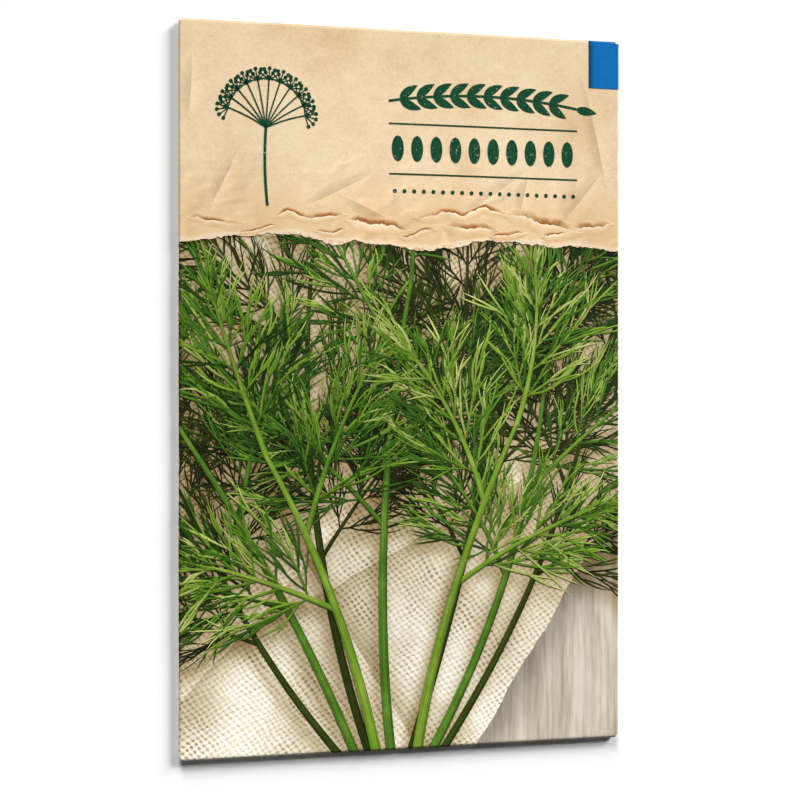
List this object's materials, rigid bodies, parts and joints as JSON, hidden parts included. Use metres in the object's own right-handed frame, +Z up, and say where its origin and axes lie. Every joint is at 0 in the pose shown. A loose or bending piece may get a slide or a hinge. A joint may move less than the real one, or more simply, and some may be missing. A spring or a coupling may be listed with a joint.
{
  "type": "seed packet",
  "caption": "Flat rectangular paper seed packet with a printed herb front, folded from one blank, glued at one side and both ends, and filled with dill seed.",
  "frame": {"origin": "on the surface that the packet lies on, under the middle of the packet", "axes": "+X to the right-hand side of the printed front, +Y to its top edge, +Z up out of the printed front"},
  "size_m": [0.1, 0.16, 0.0032],
  "materials": {
    "printed_paper": "smooth coated paper, satin, printed on its outside",
    "glue": "dried paper adhesive, pale and slightly cloudy",
    "seed": "dry brown seed with pale ribs"
  },
  "bodies": {
    "root": {"paper_envelope": "printed_paper", "side_seam_glue": "glue", "bottom_flap_glue": "glue", "top_flap_glue": "glue", "dill_seeds": "seed"}
  },
  "joints": []
}
